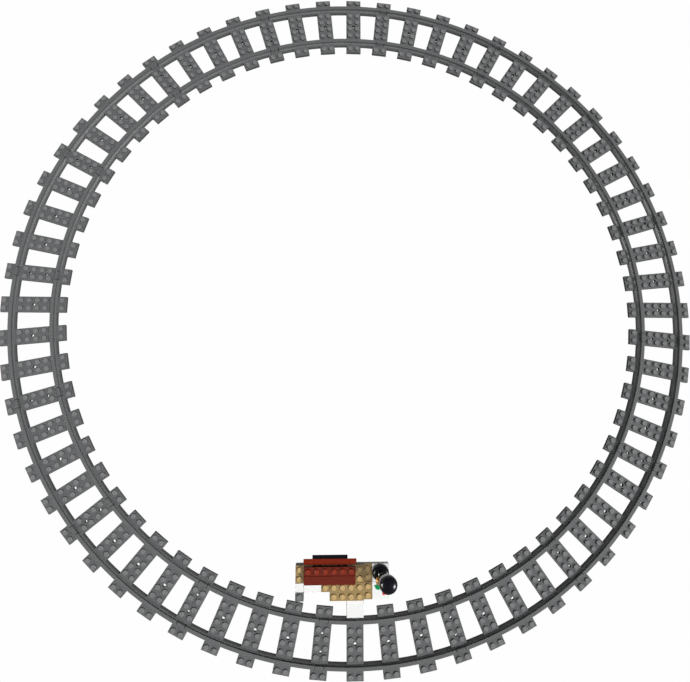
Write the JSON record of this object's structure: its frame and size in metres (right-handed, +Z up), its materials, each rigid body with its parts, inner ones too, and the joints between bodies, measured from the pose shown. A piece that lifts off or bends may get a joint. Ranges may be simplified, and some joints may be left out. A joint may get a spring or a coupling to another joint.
{
  "type": "electric train set",
  "caption": "Toy railway circle of clip-together curved track pieces with a small studded halt, hinged-back bench and round-headed lamp clipped to it inside the loop.",
  "frame": {"origin": "centre of the track circle, on the floor", "axes": "+Z up; the halt lies inside the circle towards -Y, with the seat looking towards -Y"},
  "size_m": [0.7038, 0.7038, 0.0484],
  "materials": {
    "track_plastic": "dark bluish grey, satin moulded",
    "grey_plastic": "dark grey, glossy moulded",
    "tan_plastic": "warm tan, glossy moulded",
    "white_plastic": "white, glossy moulded",
    "red_brown_plastic": "reddish brown, glossy moulded",
    "black_plastic": "black, high gloss moulded",
    "lamp_glass": "milky white, glossy",
    "gold_plastic": "pearl gold",
    "green_plastic": "green, glossy",
    "red_plastic": "red, glossy"
  },
  "bodies": {
    "track_01": {"track_curve_01": "track_plastic"},
    "track_02": {"track_curve_02": "track_plastic"},
    "track_03": {"track_curve_03": "track_plastic"},
    "track_04": {"track_curve_04": "track_plastic"},
    "track_05": {"track_curve_05": "track_plastic"},
    "track_06": {"track_curve_06": "track_plastic"},
    "track_07": {"track_curve_07": "track_plastic"},
    "track_08": {"track_curve_08": "track_plastic"},
    "track_09": {"track_curve_09": "track_plastic"},
    "track_10": {"track_curve_10": "track_plastic"},
    "track_11": {"track_curve_11": "track_plastic"},
    "track_12": {"track_curve_12": "track_plastic"},
    "track_13": {"track_curve_13": "track_plastic"},
    "track_14": {"track_curve_14": "track_plastic"},
    "track_15": {"track_curve_15": "track_plastic"},
    "track_16": {"track_curve_16": "track_plastic"},
    "halt": {"bench_hinge_plate_east": "black_plastic", "bench_hinge_plate_west": "black_plastic", "bench_riser_east": "tan_plastic", "bench_riser_middle": "tan_plastic", "bench_riser_west": "tan_plastic", "floor_plate_1x2_north": "white_plastic", "floor_plate_1x3": "white_plastic", "floor_plate_1x4_lamp": "white_plastic", "floor_plate_1x4_west": "white_plastic", "floor_plate_2x3_west": "white_plastic", "floor_plate_2x4_east": "white_plastic", "floor_plate_2x4_middle": "white_plastic", "floor_plate_2x4_track": "white_plastic", "grey_plate_1x1": "grey_plastic", "lamp_base": "black_plastic", "lamp_jumper_plate": "white_plastic", "lower_plate_1x1": "grey_plastic", "lower_plate_1x2": "grey_plastic", "lower_plate_1x2_east": "tan_plastic", "lower_plate_1x2_middle": "grey_plastic", "lower_plate_1x2_west": "grey_plastic", "lower_plate_2x2": "grey_plastic", "lower_plate_2x4": "tan_plastic", "lower_plate_2x6": "grey_plastic", "seat_plate_1x6": "red_brown_plastic", "seat_tile_1x6": "red_brown_plastic", "snow_tile_1x1": "white_plastic", "snow_tile_1x2": "white_plastic", "snow_tile_2x2_east": "white_plastic", "track_link_tile_2x2": "white_plastic", "upper_plate_1x1": "tan_plastic", "upper_plate_2x4": "tan_plastic", "upper_plate_2x8": "tan_plastic"},
    "bench_back": {"bench_back_carrier": "black_plastic", "bench_back_tile_lower": "red_brown_plastic", "bench_back_tile_upper": "red_brown_plastic"},
    "lamp_top": {"lamp_post": "black_plastic", "lamp_globe": "lamp_glass", "lamp_cap": "black_plastic"},
    "ornaments": {"ornament_clip": "black_plastic", "gold_bud": "gold_plastic", "green_leaf": "green_plastic", "red_bloom": "red_plastic"}
  },
  "joints": [
    {"name": "track_02_lift", "type": "slide", "parent": "track_01", "child": "track_02", "axis": [0, 0, 1], "range_m": [0, 0.012]},
    {"name": "track_03_lift", "type": "slide", "parent": "track_01", "child": "track_03", "axis": [0, 0, 1], "range_m": [0, 0.012]},
    {"name": "track_04_lift", "type": "slide", "parent": "track_01", "child": "track_04", "axis": [0, 0, 1], "range_m": [0, 0.012]},
    {"name": "track_05_lift", "type": "slide", "parent": "track_01", "child": "track_05", "axis": [0, 0, 1], "range_m": [0, 0.012]},
    {"name": "track_06_lift", "type": "slide", "parent": "track_01", "child": "track_06", "axis": [0, 0, 1], "range_m": [0, 0.012]},
    {"name": "track_07_lift", "type": "slide", "parent": "track_01", "child": "track_07", "axis": [0, 0, 1], "range_m": [0, 0.012]},
    {"name": "track_08_lift", "type": "slide", "parent": "track_01", "child": "track_08", "axis": [0, 0, 1], "range_m": [0, 0.012]},
    {"name": "track_09_lift", "type": "slide", "parent": "track_01", "child": "track_09", "axis": [0, 0, 1], "range_m": [0, 0.012]},
    {"name": "track_10_lift", "type": "slide", "parent": "track_01", "child": "track_10", "axis": [0, 0, 1], "range_m": [0, 0.012]},
    {"name": "track_11_lift", "type": "slide", "parent": "track_01", "child": "track_11", "axis": [0, 0, 1], "range_m": [0, 0.012]},
    {"name": "track_12_lift", "type": "slide", "parent": "track_01", "child": "track_12", "axis": [0, 0, 1], "range_m": [0, 0.012]},
    {"name": "track_13_lift", "type": "slide", "parent": "track_01", "child": "track_13", "axis": [0, 0, 1], "range_m": [0, 0.012]},
    {"name": "track_14_lift", "type": "slide", "parent": "track_01", "child": "track_14", "axis": [0, 0, 1], "range_m": [0, 0.012]},
    {"name": "track_15_lift", "type": "slide", "parent": "track_01", "child": "track_15", "axis": [0, 0, 1], "range_m": [0, 0.012]},
    {"name": "track_16_lift", "type": "slide", "parent": "track_01", "child": "track_16", "axis": [0, 0, 1], "range_m": [0, 0.012]},
    {"name": "halt_lift", "type": "slide", "parent": "track_01", "child": "halt", "axis": [0, 0, 1], "range_m": [0, 0.03]},
    {"name": "bench_back_tilt", "type": "hinge", "parent": "halt", "child": "bench_back", "pos_m": [-0.024, -0.2451, 0.0112], "axis": [-1, 0, 0], "range_deg": [-22, 50]},
    {"name": "lamp_turn", "type": "hinge", "parent": "halt", "child": "lamp_top", "pos_m": [0.024, -0.256, 0.0118], "axis": [0.0958, 0, 0.9954], "continuous": true},
    {"name": "ornament_turn", "type": "hinge", "parent": "lamp_top", "child": "ornaments", "pos_m": [0.02517, -0.256, 0.02394], "axis": [0.0958, 0, 0.9954], "continuous": true}
  ]
}
